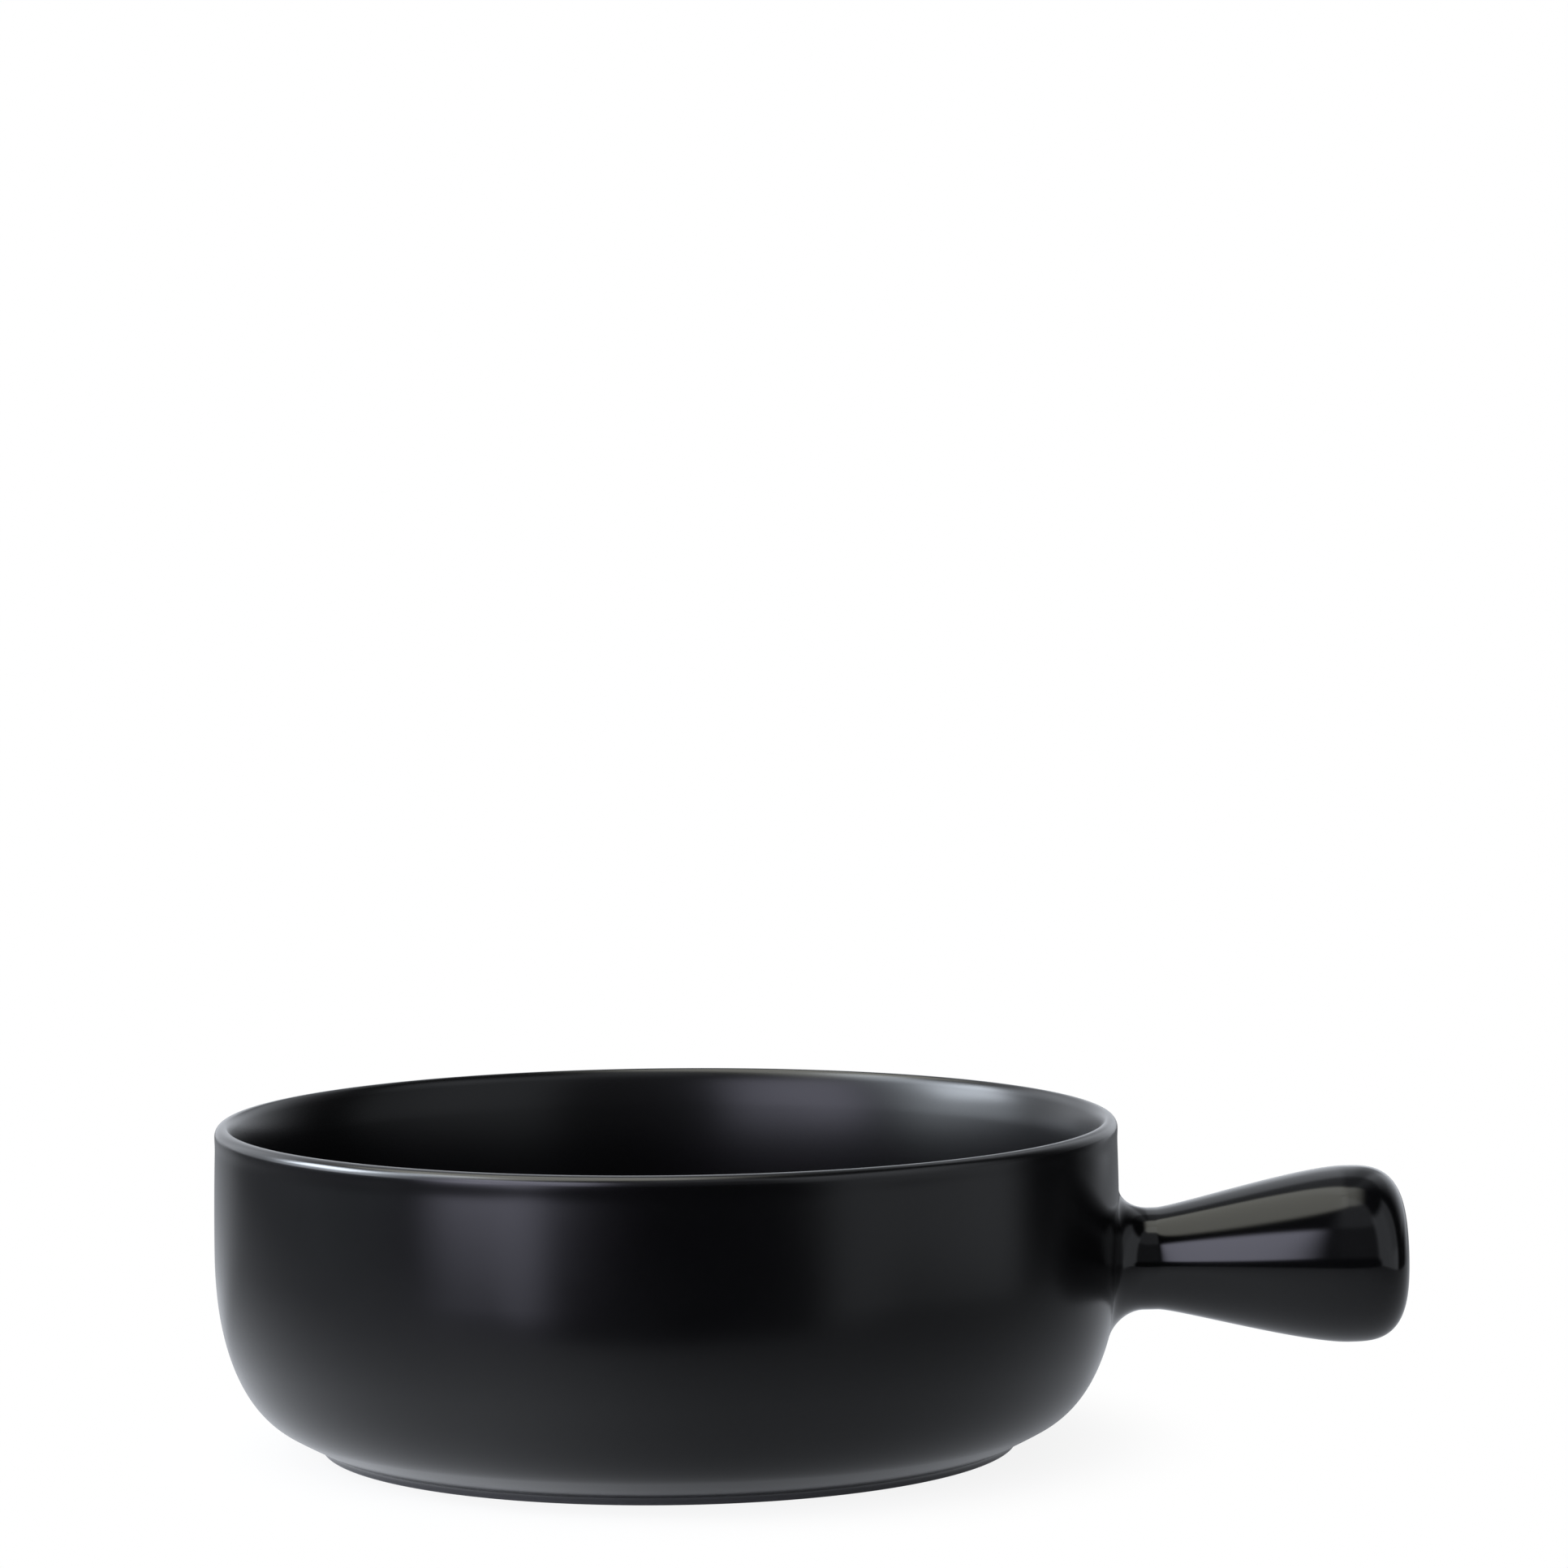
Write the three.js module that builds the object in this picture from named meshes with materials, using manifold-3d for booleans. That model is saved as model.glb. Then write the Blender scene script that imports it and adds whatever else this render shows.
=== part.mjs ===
// A round baking bowl in black glazed stoneware, with one short, hollow handle.
// Millimetres, +Z up. It stands on z = 0, with the origin under the middle of its length.

import * as THREE from 'three';
import { mergeVertices } from 'three/addons/utils/BufferGeometryUtils.js';
import Module from 'manifold-3d';

const wasm = await Module();
wasm.setup();

// The round shell
const bowlRadius = 80;
const bowlHeight = 57.6;
const wallThickness = 3.4;
const rimDrawIn = 0.45; // how far the upright wall has leant in where it reaches the rim
const cornerReach = 17.3; // outer lower corner: from the wall in to the foot's fillet
const cornerHeight = 32.2; // and from the foot up to where the wall stands upright
const cornerPower = 2.25; // superellipse: 2 is an ellipse, more is squarer
const floorThickness = 5;
const floorCornerReach = 12.1; // inner lower corner: from the wall in to the flat floor
const floorCornerPower = 2.33;

// The foot ring
const footHeight = 3.4; // from the table up to where the corner begins
const footFillet = 1.2; // hollow curve from the corner down into the foot
const footWidth = 5.6;
const footDraft = 0.3; // each side of the foot leans in by this much
const footEdge = 0.5; // rounded edges of the land that the bowl stands on

// The handle
const handleHeight = 32.1; // its axis where it leaves the wall
const handleTilt = THREE.MathUtils.degToRad(1.3);
const neckWidth = 18.8;
const neckHeight = 18;
const gripWidth = 31.4;
const gripHeight = 31.1;
const neckLength = 6.5; // from the wall to where the neck begins to swell
const swellLength = 33.6; // from there to the fattest place
const endDepth = 10.9; // from there to the tip
const endPower = 3.1; // superellipse of the rounded end
const neckPullShare = 0.1; // how long the swelling stays level at the neck
const gripPullShare = 0.25; // and at the fattest place
const handleWall = 4; // the casting's thickness round its hollow
const ventDiameter = 3; // lets the steam out of the hollow in the kiln
const ventDistance = 13; // from the wall, on the underside

// The slip that lutes the handle on, smoothed into a hollow curve round its root
const slipLength = 5.2; // along the handle
const slipRiseTop = 3.6; // up the wall, above the handle
const slipRiseBottom = 5; // down the wall, below it
const slipEdge = 0.25; // how thick it ends
const jointGap = 0.3;

// Facets
const roundSteps = 72;
const cornerSteps = 10;
const wallSteps = 3;
const rimSteps = 8;
const filletSteps = 3;
const edgeSteps = 2;
const handleRoundSteps = 40;
const swellSteps = 10;
const endSteps = 6;
const hollowSteps = 6;
const hollowEndSteps = 4;
const ventSteps = 12;
const slipSteps = 6;
const seatPasses = 12;

// Heights and radii that the sizes above give
const cornerTop = footHeight + cornerHeight;
const footTop = footHeight - footFillet;
const filletRadius = bowlRadius - cornerReach;
const footRadius = filletRadius - footFillet;
const floorTop = footTop + floorThickness;
const floorRadius = bowlRadius - wallThickness - floorCornerReach;

const shellGlaze = new THREE.MeshStandardMaterial({ color: '#1c1c1f', roughness: 0.38, metalness: 0 });
const footGlaze = new THREE.MeshStandardMaterial({ color: '#242425', roughness: 0.5, metalness: 0 });
const handleGlaze = new THREE.MeshStandardMaterial({ color: '#19191b', roughness: 0.15, metalness: 0 });
const slipGlaze = new THREE.MeshStandardMaterial({ color: '#1a1a1c', roughness: 0.2, metalness: 0 });

// Quarter of a superellipse, from its side (centre.x + reach) to its foot (centre.y - drop)
function superCorner(centre, reach, drop, power, steps) {
  const points = [];
  for (let i = 0; i <= steps; i++) {
    const angle = (i / steps) * Math.PI / 2;
    const across = Math.cos(angle) ** (2 / power);
    const down = Math.sin(angle) ** (2 / power);
    points.push(new THREE.Vector2(centre.x + reach * across, centre.y - drop * down));
  }
  return points;
}

// Points along an arc, both ends included
function arcPoints(x, y, radius, startAngle, endAngle, steps) {
  const clockwise = endAngle < startAngle;
  const arc = new THREE.EllipseCurve(x, y, radius, radius, startAngle, endAngle, clockwise);
  return arc.getPoints(steps);
}

// Outer radius of the shell at a height: the corner's superellipse, then the wall's slight lean
function outerRadiusAt(z) {
  if (z < cornerTop) {
    const drop = Math.min((cornerTop - z) / cornerHeight, 1);
    return filletRadius + cornerReach * (1 - drop ** cornerPower) ** (1 / cornerPower);
  }
  const rise = (z - cornerTop) / (bowlHeight - cornerTop);
  return bowlRadius - rimDrawIn * rise ** 2;
}

// Revolves a profile about Z. The profile runs outwards along the bottom, up, and back.
function revolve(profile, steps) {
  const geometry = new THREE.LatheGeometry(profile, steps);
  geometry.rotateX(Math.PI / 2);
  geometry.deleteAttribute('normal');
  geometry.deleteAttribute('uv');
  return mergeVertices(geometry);
}

// A closed skin through rows of points. A row of one point closes an end, and where wrap is
// true the last row joins the first.
function skin(rows, wrap) {
  const positions = [];
  const starts = rows.map((row) => {
    const start = positions.length / 3;
    row.forEach((point) => positions.push(point.x, point.y, point.z));
    return start;
  });
  const triangles = [];
  const pairs = wrap ? rows.length : rows.length - 1;
  for (let i = 0; i < pairs; i++) {
    const next = (i + 1) % rows.length;
    const count = Math.max(rows[i].length, rows[next].length);
    for (let j = 0; j < count; j++) {
      const k = (j + 1) % count;
      const a = starts[i] + (rows[i].length > 1 ? j : 0);
      const b = starts[i] + (rows[i].length > 1 ? k : 0);
      const c = starts[next] + (rows[next].length > 1 ? k : 0);
      const d = starts[next] + (rows[next].length > 1 ? j : 0);
      if (a !== b) triangles.push(a, b, c);
      if (c !== d) triangles.push(a, c, d);
    }
  }
  const geometry = new THREE.BufferGeometry();
  geometry.setAttribute('position', new THREE.Float32BufferAttribute(positions, 3));
  geometry.setIndex(triangles);
  return geometry;
}

function toManifold(geometry) {
  return new wasm.Manifold(new wasm.Mesh({
    numProp: 3,
    vertProperties: new Float32Array(geometry.attributes.position.array),
    triVerts: new Uint32Array(geometry.index.array),
  }));
}

function fromManifold(solid) {
  const { vertProperties, triVerts } = solid.getMesh();
  const geometry = new THREE.BufferGeometry();
  geometry.setAttribute('position', new THREE.BufferAttribute(vertProperties, 3));
  geometry.setIndex(new THREE.BufferAttribute(triVerts, 1));
  return geometry;
}

function namedMesh(name, geometry, material) {
  geometry.computeVertexNormals();
  const mesh = new THREE.Mesh(geometry, material);
  mesh.name = name;
  return mesh;
}

// Shell: flat underside, fillet to the foot, swelling corner, upright wall, round rim, inside
function makeShell() {
  const rimRadius = wallThickness / 2;
  const rimZ = bowlHeight - rimRadius;
  const rimX = outerRadiusAt(rimZ) - rimRadius;
  const outerCorner = superCorner(
    new THREE.Vector2(filletRadius, cornerTop), cornerReach, cornerHeight, cornerPower, cornerSteps,
  ).reverse();
  const innerCorner = superCorner(
    new THREE.Vector2(floorRadius, cornerTop), floorCornerReach, cornerTop - floorTop,
    floorCornerPower, cornerSteps,
  );
  const outerWall = [];
  for (let i = 1; i < wallSteps; i++) {
    const z = THREE.MathUtils.lerp(cornerTop, rimZ, i / wallSteps);
    outerWall.push(new THREE.Vector2(outerRadiusAt(z), z));
  }
  const innerWall = outerWall.map((p) => new THREE.Vector2(p.x - wallThickness, p.y)).reverse();
  return revolve([
    new THREE.Vector2(0, footTop),
    ...arcPoints(filletRadius, footTop, footFillet, Math.PI, Math.PI / 2, filletSteps).slice(0, -1),
    ...outerCorner,
    ...outerWall,
    ...arcPoints(rimX, rimZ, rimRadius, 0, Math.PI, rimSteps),
    ...innerWall,
    ...innerCorner,
    new THREE.Vector2(0, floorTop),
  ], roundSteps);
}

// Foot ring: a low ring with leaning sides and a rounded land, its flat top against the shell
function makeFootRing() {
  const landOuter = footRadius - footDraft;
  const landInner = footRadius - footWidth + footDraft;
  const outerEdge = arcPoints(landOuter - footEdge, footEdge, footEdge, -Math.PI / 2, 0, edgeSteps);
  const innerEdge = arcPoints(landInner + footEdge, footEdge, footEdge, Math.PI, 1.5 * Math.PI, edgeSteps);
  const top = new THREE.Vector2(footRadius, footTop);
  return revolve([
    top,
    new THREE.Vector2(footRadius - footWidth, footTop),
    ...innerEdge,
    ...outerEdge,
    top.clone(),
  ], roundSteps);
}

// Distance along the handle at which a line parallel to its axis meets the shell's wall.
// y and z are measured from the handle's axis, and the distance from the wall on that axis.
const wallAtHandle = outerRadiusAt(handleHeight);
function seatOnWall(y, z) {
  const sin = Math.sin(handleTilt);
  const cos = Math.cos(handleTilt);
  let along = 0;
  for (let pass = 0; pass < seatPasses; pass++) {
    const height = handleHeight + along * sin + z * cos;
    const x = Math.sqrt(outerRadiusAt(height) ** 2 - y ** 2);
    along = (x - wallAtHandle + z * sin) / cos;
  }
  return along;
}

// One ring of points round the handle's axis, from functions of the angle
function handleRing(halfWidth, halfHeight, alongAt) {
  const ring = [];
  for (let j = 0; j < handleRoundSteps; j++) {
    const angle = (j / handleRoundSteps) * 2 * Math.PI;
    const y = halfWidth(angle) * Math.cos(angle);
    const z = halfHeight(angle) * Math.sin(angle);
    ring.push(new THREE.Vector3(alongAt(y, z), y, z));
  }
  return ring;
}

// Rings of one side of the handle's wall, from the tip to the root, drawn in by inset.
// The swelling is one Bezier curve, level at both ends, and the end is a superellipse.
function handleRings(inset, swellCount, endCount) {
  const rings = [[new THREE.Vector3(neckLength + swellLength + endDepth - inset, 0, 0)]];
  const plainRing = (along, halfWidth, halfHeight) => {
    rings.push(handleRing(() => halfWidth, () => halfHeight, () => along));
  };
  const end = superCorner(new THREE.Vector2(0, 0), 1, 1, endPower, endCount);
  end.reverse().slice(1, -1).forEach((share) => {
    const along = neckLength + swellLength - (endDepth - inset) * share.y;
    plainRing(along, (gripWidth / 2 - inset) * share.x, (gripHeight / 2 - inset) * share.x);
  });
  const swell = new THREE.CubicBezierCurve(
    new THREE.Vector2(1, 1),
    new THREE.Vector2(1 - gripPullShare, 1),
    new THREE.Vector2(neckPullShare, 0),
    new THREE.Vector2(0, 0),
  );
  swell.getPoints(swellCount).forEach((share) => {
    const halfWidth = THREE.MathUtils.lerp(neckWidth, gripWidth, share.y) / 2 - inset;
    const halfHeight = THREE.MathUtils.lerp(neckHeight, gripHeight, share.y) / 2 - inset;
    plainRing(neckLength + swellLength * share.x, halfWidth, halfHeight);
  });
  const rootRing = handleRing(
    () => neckWidth / 2 - inset,
    () => neckHeight / 2 - inset,
    (y, z) => seatOnWall(y, z) + jointGap,
  );
  rings.push(rootRing);
  return rings;
}

// Handle: a hollow casting, its root cut to the wall's double curve, with a vent underneath
function makeHandle() {
  const inside = handleRings(handleWall, hollowSteps, hollowEndSteps);
  const outside = handleRings(0, swellSteps, endSteps).reverse();
  const casting = toManifold(skin([...inside, ...outside], false));
  const drillLength = gripHeight;
  const drill = new THREE.CylinderGeometry(ventDiameter / 2, ventDiameter / 2, drillLength, ventSteps);
  drill.rotateX(Math.PI / 2);
  drill.translate(ventDistance, 0, -drillLength / 2);
  drill.deleteAttribute('normal');
  drill.deleteAttribute('uv');
  return fromManifold(casting.subtract(toManifold(mergeVertices(drill))));
}

// Slip: a ring in the corner between wall and neck, its outside a hollow quarter ellipse that
// lies along the wall at one end and along the neck at the other, and deeper below
function makeSlip() {
  const rise = (angle) => THREE.MathUtils.lerp(slipRiseBottom, slipRiseTop, (1 + Math.sin(angle)) / 2);
  const edge = jointGap + slipEdge;
  const slipRing = (up, along) => handleRing(
    (angle) => neckWidth / 2 + up(angle),
    (angle) => neckHeight / 2 + up(angle),
    (y, z) => seatOnWall(y, z) + along,
  );
  const rings = [
    slipRing(() => jointGap, jointGap),
    slipRing(rise, jointGap),
  ];
  for (let i = 0; i <= slipSteps; i++) {
    const turn = (i / slipSteps) * Math.PI / 2;
    const up = (angle) => rise(angle) - (rise(angle) - edge) * Math.sin(turn);
    rings.push(slipRing(up, slipLength - (slipLength - edge) * Math.cos(turn)));
  }
  rings.push(slipRing(() => jointGap, slipLength));
  return skin(rings, true);
}

const bowl = new THREE.Group();
bowl.add(
  namedMesh('bowl_body', makeShell(), shellGlaze),
  namedMesh('foot_ring', makeFootRing(), footGlaze),
);

const handleAssembly = new THREE.Group();
handleAssembly.position.set(wallAtHandle, 0, handleHeight);
handleAssembly.rotation.y = -handleTilt;
handleAssembly.add(
  namedMesh('handle', makeHandle(), handleGlaze),
  namedMesh('handle_slip_joint', makeSlip(), slipGlaze),
);
bowl.add(handleAssembly);

// The part's origin lies on the table, under the middle of the box round bowl and handle
const part = new THREE.Group();
part.add(bowl);
const extent = new THREE.Box3().setFromObject(part, true);
bowl.position.x = -(extent.min.x + extent.max.x) / 2;

export default part;
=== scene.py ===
# Looks for the round bowl with one handle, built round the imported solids.
# Shapes are worked out in millimetres and become metres in their meshes. The camera, the lamp, the
# cloth and the table are in metres.

from math import asin, atan, cos, pi, radians, sin, tan

import bpy
import numpy as np
from mathutils import Matrix, Vector


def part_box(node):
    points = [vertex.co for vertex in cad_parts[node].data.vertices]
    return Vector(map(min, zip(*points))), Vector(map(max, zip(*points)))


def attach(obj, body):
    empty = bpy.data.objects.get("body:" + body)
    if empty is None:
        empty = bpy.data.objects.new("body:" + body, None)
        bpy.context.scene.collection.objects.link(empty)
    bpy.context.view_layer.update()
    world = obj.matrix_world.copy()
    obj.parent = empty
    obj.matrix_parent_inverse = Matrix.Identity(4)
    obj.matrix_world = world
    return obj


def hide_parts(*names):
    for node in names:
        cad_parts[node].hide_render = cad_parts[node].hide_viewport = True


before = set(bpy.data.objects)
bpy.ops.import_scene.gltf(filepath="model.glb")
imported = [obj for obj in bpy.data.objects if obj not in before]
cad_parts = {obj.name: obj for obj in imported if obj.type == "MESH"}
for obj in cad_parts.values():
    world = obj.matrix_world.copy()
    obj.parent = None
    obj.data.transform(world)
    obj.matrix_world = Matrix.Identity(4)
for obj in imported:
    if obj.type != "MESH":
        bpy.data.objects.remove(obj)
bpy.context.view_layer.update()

mm = 0.001
sharpAngle = radians(30)  # edges that turn by more than this are shaded sharp
low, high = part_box("bowl_body")
bowlX = (low.x + high.x) / 2  # the bowl's own axis stands here, and y = 0
scene = bpy.context.scene


# 0 before start, 1 after end, and between them the soft step 3 s^2 - 2 s^3
def softStep(value, start, end):
    share = np.clip((value - start) / (end - start), 0, 1)
    return share * share * (3 - 2 * share)


# A closed skin over rows of points, one row for each step along the shape.
# Where an end is closed, all its points are one pole. Faces point outwards.
def skinOver(name, rows, startPole, endPole, joinEnds=False):
    count, around, _ = rows.shape
    index = np.arange(count * around).reshape(count, around)
    after = np.roll(index, -1, axis=1)
    first, last = (1 if startPole else 0), (count - 1 if endPole else count)
    lower, upper = index[first:last - 1], index[first + 1:last]
    lowerNext, upperNext = after[first:last - 1], after[first + 1:last]
    parts = [np.stack([lower, lowerNext, upperNext, upper], axis=-1).reshape(-1, 4)]
    if joinEnds:
        parts.append(np.stack([index[-1], after[-1], after[0], index[0]], axis=-1))
    if startPole:
        parts.append(np.stack([np.full(around, index[0, 0]), after[1], index[1]], axis=-1))
    if endPole:
        parts.append(np.stack([index[-2], after[-2], np.full(around, index[-1, 0])], axis=-1))
    used = np.unique(np.concatenate([part.ravel() for part in parts]))
    renumber = np.zeros(count * around, int)
    renumber[used] = np.arange(len(used))
    faces = [face for part in parts for face in renumber[part].tolist()]
    mesh = bpy.data.meshes.new(name)
    mesh.from_pydata((rows.reshape(-1, 3)[used] * mm).tolist(), [], faces)
    mesh.shade_smooth()
    mesh.set_sharp_from_angle(angle=sharpAngle)
    piece = bpy.data.objects.new(name, mesh)
    scene.collection.objects.link(piece)
    return piece


# A profile of radii and heights carried round the bowl's axis
def turnedRows(profile, around):
    angle = np.arange(around) / around * 2 * pi
    radius, height = profile[:, :1], profile[:, 1:]
    x = bowlX / mm + radius * np.cos(angle)
    return np.stack([x, radius * np.sin(angle), height + 0 * angle], axis=-1)


# Points along a straight line, evenly spaced, without its last one
def straight(start, end, count):
    share = np.arange(count)[:, None] / count
    return np.array(start) + share * (np.array(end) - np.array(start))


# A superellipse, across^power + down^power = 1, from its side towards its foot, which it reaches
# at a quarter turn. The points lie closer together near both ends.
def superCorner(sideX, topZ, reach, drop, power, count, quarter=1.0):
    angle = (1 - np.cos(np.linspace(0, pi, count))) * pi / 4 * quarter
    return np.column_stack([
        sideX - reach + reach * np.cos(angle) ** (2 / power),
        topZ - drop * np.sin(angle) ** (2 / power),
    ])


# Part of a circle between two angles in radians
def arc(centreX, centreZ, radius, start, end, count):
    angle = np.linspace(start, end, count)
    return np.column_stack([centreX + radius * np.cos(angle), centreZ + radius * np.sin(angle)])


# A curve between two points that leaves and arrives along the given directions: a quadratic
# Bezier, its middle point where the two directions cross
def bend(start, leaving, end, arriving, count):
    start, leaving, end, arriving = (np.array(item) for item in (start, leaving, end, arriving))
    far, _ = np.linalg.solve(np.column_stack([leaving, arriving]), end - start)
    middle = start + far * leaving
    share = np.linspace(0, 1, count)[:, None]
    return (1 - share) ** 2 * start + 2 * share * (1 - share) * middle + share ** 2 * end


# The bowl: its sizes in millimetres, its slopes in radians and the points along its section
bowl = {
    "radius": 80, "height": 57.6, "wall": 3.4,
    "rimDrawIn": 0.45,  # the upright wall leans in by this much where it reaches the rim
    "beadDepth": 0.13, "beadReach": 1.5,  # the rim stands out as a faint bead over the wall
    "innerLean": radians(10),  # the inside opens by this slope at the rim, and less below it
    "rimInside": 1.7, "rimInsideDepth": 7,  # inside, the rim is a quarter ellipse of this size
    "cornerReach": 17.3, "cornerHeight": 32.2, "cornerPower": 2.25, "cornerFoot": 3.4,
    "cornerEnd": radians(60),  # the corner ends where its skin looks down by this much
    "floorCornerReach": 26.6, "floorCornerPower": 3.7, "floorThickness": 5,
    "insideFrom": 0.35, "insideTo": 0.95,  # the glaze turns matt across these shares of the wall
    "around": 320, "cornerPoints": 60, "joinPoints": 12, "wallPoints": 48, "rimPoints": 22,
    "rimInsidePoints": 35, "innerWallPoints": 22, "floorCornerPoints": 52, "floorPoints": 15,
    "underPoints": 11, "seamPoints": 3, "hollowPoints": 16,
}
cornerTop = bowl["cornerFoot"] + bowl["cornerHeight"]
wallHeight = bowl["height"] - cornerTop

# The foot ring, which the bowl's section also has to meet
foot = {
    "radius": 61.6, "top": 2.2, "width": 5.7, "side": 0.3, "edge": 0.3,
    "landTop": 0.02,  # the glaze is wiped off below this height
    "seamTop": 1.2,  # the bowl's skin ends and the foot's begins at this height on the outside
    "hollowRadius": 1.3, "hollowEnd": radians(65),  # the hollow curve between foot and corner
    "flatPoints": 7, "edgePoints": 10, "hollowPoints": 20,
}
hollowX = foot["radius"] + foot["hollowRadius"]
hollowSplit = asin((foot["seamTop"] - foot["side"]) / foot["hollowRadius"])
seamRadius = hollowX - foot["hollowRadius"] * cos(hollowSplit)


# Outer radius at a height: the corner's superellipse below, and above it the wall, whose lean
# grows with the square of its rise and whose bead is a bell curve round the rim's height
def wallRadius(z):
    power = bowl["cornerPower"]
    drop = np.clip((cornerTop - z) / bowl["cornerHeight"], 0, 1)
    corner = bowl["radius"] - bowl["cornerReach"] * (1 - (1 - drop ** power) ** (1 / power))
    rise = np.clip((z - cornerTop) / wallHeight, 0, 1)
    belowRim = (z - bowl["height"] + bowl["wall"] / 2) / bowl["beadReach"]
    wall = bowl["radius"] - bowl["rimDrawIn"] * rise ** 2 + bowl["beadDepth"] * np.exp(-belowRim ** 2)
    return np.where(z < cornerTop, corner, wall)


# The corner's outside: a short bend up from the end of the foot's hollow curve, and then the
# superellipse, from the point where it looks down by the corner's end angle to the upright wall
def cornerProfile():
    reach, height, power = bowl["cornerReach"], bowl["cornerHeight"], bowl["cornerPower"]
    slope = 1 / tan(bowl["cornerEnd"])
    acrossByDown = (slope * reach / height) ** (1 / (power - 1))
    quarter = atan(acrossByDown ** (-power / 2)) / (pi / 2)
    corner = superCorner(bowl["radius"], cornerTop, reach, height, power,
                         bowl["cornerPoints"], quarter)[::-1]
    start = (hollowX - foot["hollowRadius"] * cos(foot["hollowEnd"]),
             foot["side"] + foot["hollowRadius"] * sin(foot["hollowEnd"]))
    join = bend(start, (sin(foot["hollowEnd"]), cos(foot["hollowEnd"])),
                corner[0], (sin(bowl["cornerEnd"]), cos(bowl["cornerEnd"])), bowl["joinPoints"])
    return np.concatenate([join[1:-1], corner])


# The inside, from the rim's crest down to the corner. The rim is a quarter ellipse, and the wall
# thickens downwards by a parabola, so that its lean shrinks evenly to nothing at the corner.
def innerProfile(crestX):
    rimFoot = bowl["height"] - bowl["rimInsideDepth"]
    turn = np.linspace(pi / 2, 0, bowl["rimInsidePoints"] + 1)[1:]
    ellipse = np.column_stack([
        bowl["rimInside"] * np.cos(turn), rimFoot + bowl["rimInsideDepth"] * np.sin(turn)])
    wall = straight((bowl["rimInside"], rimFoot), (bowl["rimInside"], cornerTop),
                    bowl["innerWallPoints"] + 1)[1:]
    inward, z = np.concatenate([ellipse, wall]).T
    thicker = tan(bowl["innerLean"]) * wallHeight / 2
    fallen = (bowl["height"] - z) / wallHeight
    inner = np.column_stack([crestX - inward - thicker * (1 - (1 - fallen) ** 2), z])
    floorTop = foot["top"] + bowl["floorThickness"]
    floorRadius = bowl["radius"] - bowl["wall"] - bowl["floorCornerReach"]
    side = crestX - bowl["rimInside"] - thicker
    corner = superCorner(side, cornerTop, side - floorRadius, cornerTop - floorTop,
                         bowl["floorCornerPower"], bowl["floorCornerPoints"])
    floor = straight((0, floorTop), (floorRadius, floorTop), bowl["floorPoints"])[::-1]
    return np.concatenate([inner, corner, floor])


# The bowl's section: out along the underside, up the outside, over the rim, down and in
def bowlProfile():
    rimRadius = bowl["wall"] / 2
    rimZ = bowl["height"] - rimRadius
    riseAtRim = (rimZ - cornerTop) / wallHeight
    outerLean = atan(2 * bowl["rimDrawIn"] * riseAtRim / wallHeight)
    outerTop = rimZ + rimRadius * sin(outerLean)
    rimX = float(wallRadius(np.array(outerTop))) - rimRadius * cos(outerLean)
    rim = arc(rimX, rimZ, rimRadius, outerLean, pi / 2, bowl["rimPoints"])
    climb = np.linspace(cornerTop, outerTop, bowl["wallPoints"])[1:-1]
    outer = np.column_stack([wallRadius(climb), climb])
    footInner = (foot["radius"] - foot["width"], foot["top"])
    return np.concatenate([
        straight((0, foot["top"]), footInner, bowl["underPoints"]),
        straight(footInner, (seamRadius, foot["seamTop"]), bowl["seamPoints"]),
        arc(hollowX, foot["side"], foot["hollowRadius"],
            pi - hollowSplit, pi - foot["hollowEnd"], bowl["hollowPoints"]),
        cornerProfile(), outer, rim, innerProfile(rimX),
    ])


bowlSkin = skinOver("bowl_skin", turnedRows(bowlProfile(), bowl["around"]), True, True)


# Marks how far each point of the bowl is inside: 0 on the outside, 1 on the floor and the inner
# wall, with a soft step over the rim. Above the underside, a point is inside where its radius is
# well below the outer radius at its height.
def markInside():
    points = np.empty(len(bowlSkin.data.vertices) * 3)
    bowlSkin.data.vertices.foreach_get("co", points)
    x, y, z = points.reshape(-1, 3).T / mm
    depth = (wallRadius(z) - np.hypot(x - bowlX / mm, y)) / bowl["wall"]
    inside = softStep(depth, bowl["insideFrom"], bowl["insideTo"]) * (z > bowl["floorThickness"])
    bowlSkin.data.attributes.new("inside", "FLOAT", "POINT").data.foreach_set("value", inside)


markInside()
print("bowl:", len(bowlSkin.data.vertices), "points")


# The foot: it takes over the hollow curve, and below that it is upright with a flat land. Its
# top lies against the bowl.
def footProfile():
    outerX, innerX = foot["radius"], foot["radius"] - foot["width"]
    edge, edgePoints = foot["edge"], foot["edgePoints"]
    hollow = arc(hollowX, foot["side"], foot["hollowRadius"],
                 pi, pi - hollowSplit, foot["hollowPoints"])
    return np.concatenate([
        straight((innerX, foot["top"]), (innerX, edge), foot["flatPoints"]),
        arc(innerX + edge, edge, edge, pi, 1.5 * pi, edgePoints),
        straight((innerX + edge, 0), (outerX - edge, 0), foot["flatPoints"])[1:],
        arc(outerX - edge, edge, edge, -pi / 2, 0, edgePoints),
        hollow[1:],
    ])


footSkin = skinOver("foot_skin", turnedRows(footProfile(), bowl["around"]), False, False, joinEnds=True)
print("foot:", len(footSkin.data.vertices), "points")

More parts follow.
